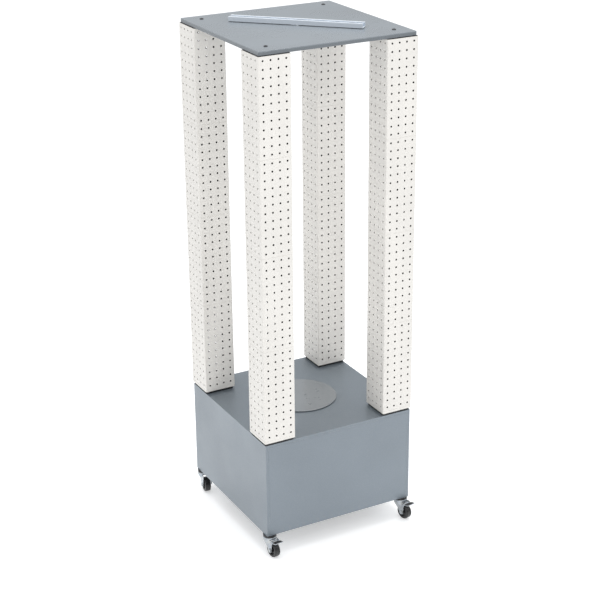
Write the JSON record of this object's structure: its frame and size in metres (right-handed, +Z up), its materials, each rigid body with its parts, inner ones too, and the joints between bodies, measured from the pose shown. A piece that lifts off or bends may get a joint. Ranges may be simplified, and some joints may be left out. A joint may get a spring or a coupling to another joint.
{
  "type": "rolling pegboard tower floor display",
  "caption": "Rolling floor display: square pegboard towers on a sheet-steel base box with casters, tied by a top plate with a sign channel; turntable on the deck.",
  "frame": {"origin": "on the floor under the middle of the four towers", "axes": "+Z up, +X to the right of the front face, +Y to the back; the front is the face towards -Y"},
  "size_m": [0.5499, 0.596, 1.6731],
  "materials": {
    "base_paint": "satin silver-grey powder coat with fine metallic flake",
    "plate_paint": "semi-gloss silver-grey powder coat",
    "tower_plastic": "satin warm white moulded plastic",
    "black_plastic": "matt black moulded plastic",
    "black_steel": "black oxide",
    "bright_zinc": "bright zinc plating",
    "channel_aluminium": "satin anodised",
    "disc_plastic": "polished silver-grey",
    "wheel_plastic": "dark grey moulded nylon",
    "tyre_rubber": "black rubber"
  },
  "bodies": {
    "display": {"tower_fl_module_1": "tower_plastic", "tower_fl_module_2": "tower_plastic", "tower_fl_module_3": "tower_plastic", "tower_fl_module_4": "tower_plastic", "tower_fr_module_1": "tower_plastic", "tower_fr_module_2": "tower_plastic", "tower_fr_module_3": "tower_plastic", "tower_fr_module_4": "tower_plastic", "tower_bl_module_1": "tower_plastic", "tower_bl_module_2": "tower_plastic", "tower_bl_module_3": "tower_plastic", "tower_bl_module_4": "tower_plastic", "tower_br_module_1": "tower_plastic", "tower_br_module_2": "tower_plastic", "tower_br_module_3": "tower_plastic", "tower_br_module_4": "tower_plastic", "tower_feet": "black_plastic", "tower_bottom_caps": "tower_plastic", "tower_top_caps": "black_plastic", "tie_rods": "bright_zinc", "plate_screws": "black_steel", "base_shell": "base_paint", "base_front_panel": "base_paint", "base_back_panel": "base_paint", "panel_screws": "bright_zinc", "caster_gussets": "base_paint", "deck_stiffeners": "base_paint", "m10_nuts": "bright_zinc", "bearing_housing": "base_paint", "bearing_balls": "bright_zinc", "top_plate": "plate_paint", "channel_fasteners": "bright_zinc", "swivel_balls": "bright_zinc", "dust_rings": "black_plastic", "caster_fl_stem": "bright_zinc", "caster_fr_stem": "bright_zinc", "caster_bl_stem": "bright_zinc", "caster_br_stem": "bright_zinc"},
    "turntable": {"turntable_disc": "disc_plastic", "turntable_spindle": "bright_zinc", "spindle_nut": "bright_zinc"},
    "sign_holder": {"sign_channel": "channel_aluminium"},
    "caster_fl_swivel": {"caster_fl_fork": "bright_zinc", "caster_fl_axle": "bright_zinc"},
    "caster_fl_roller": {"caster_fl_wheel": "wheel_plastic", "caster_fl_tyre": "tyre_rubber"},
    "caster_fl_brake": {"caster_fl_pedal": "bright_zinc"},
    "caster_fr_swivel": {"caster_fr_fork": "bright_zinc", "caster_fr_axle": "bright_zinc"},
    "caster_fr_roller": {"caster_fr_wheel": "wheel_plastic", "caster_fr_tyre": "tyre_rubber"},
    "caster_fr_brake": {"caster_fr_pedal": "bright_zinc"},
    "caster_bl_swivel": {"caster_bl_fork": "bright_zinc", "caster_bl_axle": "bright_zinc"},
    "caster_bl_roller": {"caster_bl_wheel": "wheel_plastic", "caster_bl_tyre": "tyre_rubber"},
    "caster_br_swivel": {"caster_br_fork": "bright_zinc", "caster_br_axle": "bright_zinc"},
    "caster_br_roller": {"caster_br_wheel": "wheel_plastic", "caster_br_tyre": "tyre_rubber"}
  },
  "joints": [
    {"name": "turntable_spin", "type": "hinge", "parent": "display", "child": "turntable", "pos_m": [0, 0, 0.4024], "axis": [0, 0, 1], "continuous": true},
    {"name": "sign_holder_turn", "type": "hinge", "parent": "display", "child": "sign_holder", "pos_m": [0, 0, 1.65728], "axis": [0, 0, 1], "continuous": true},
    {"name": "caster_fl_turn", "type": "hinge", "parent": "display", "child": "caster_fl_swivel", "pos_m": [-0.2487, -0.2487, 0.07], "axis": [0, 0, 1], "continuous": true},
    {"name": "caster_fl_roll", "type": "hinge", "parent": "caster_fl_swivel", "child": "caster_fl_roller", "pos_m": [-0.24592, -0.2685, 0.0254], "axis": [0.9903, 0.1392, 0], "continuous": true},
    {"name": "caster_fl_brake_press", "type": "hinge", "parent": "caster_fl_swivel", "child": "caster_fl_brake", "pos_m": [-0.24494, -0.27544, 0.0565], "axis": [0.9903, 0.1392, 0], "range_deg": [0, 28]},
    {"name": "caster_fr_turn", "type": "hinge", "parent": "display", "child": "caster_fr_swivel", "pos_m": [0.2487, -0.2487, 0.07], "axis": [0, 0, 1], "continuous": true},
    {"name": "caster_fr_roll", "type": "hinge", "parent": "caster_fr_swivel", "child": "caster_fr_roller", "pos_m": [0.25252, -0.26833, 0.0254], "axis": [0.9816, 0.1908, 0], "continuous": true},
    {"name": "caster_fr_brake_press", "type": "hinge", "parent": "caster_fr_swivel", "child": "caster_fr_brake", "pos_m": [0.25385, -0.2752, 0.0565], "axis": [0.9816, 0.1908, 0], "range_deg": [0, 28]},
    {"name": "caster_bl_turn", "type": "hinge", "parent": "display", "child": "caster_bl_swivel", "pos_m": [-0.2487, 0.2487, 0.07], "axis": [0, 0, 1], "continuous": true},
    {"name": "caster_bl_roll", "type": "hinge", "parent": "caster_bl_swivel", "child": "caster_bl_roller", "pos_m": [-0.25148, 0.22889, 0.0254], "axis": [0.9903, -0.1392, 0], "continuous": true},
    {"name": "caster_br_turn", "type": "hinge", "parent": "display", "child": "caster_br_swivel", "pos_m": [0.2487, 0.2487, 0.07], "axis": [0, 0, 1], "continuous": true},
    {"name": "caster_br_roll", "type": "hinge", "parent": "caster_br_swivel", "child": "caster_br_roller", "pos_m": [0.2587, 0.26602, 0.0254], "axis": [-0.866, 0.5, 0], "continuous": true}
  ]
}
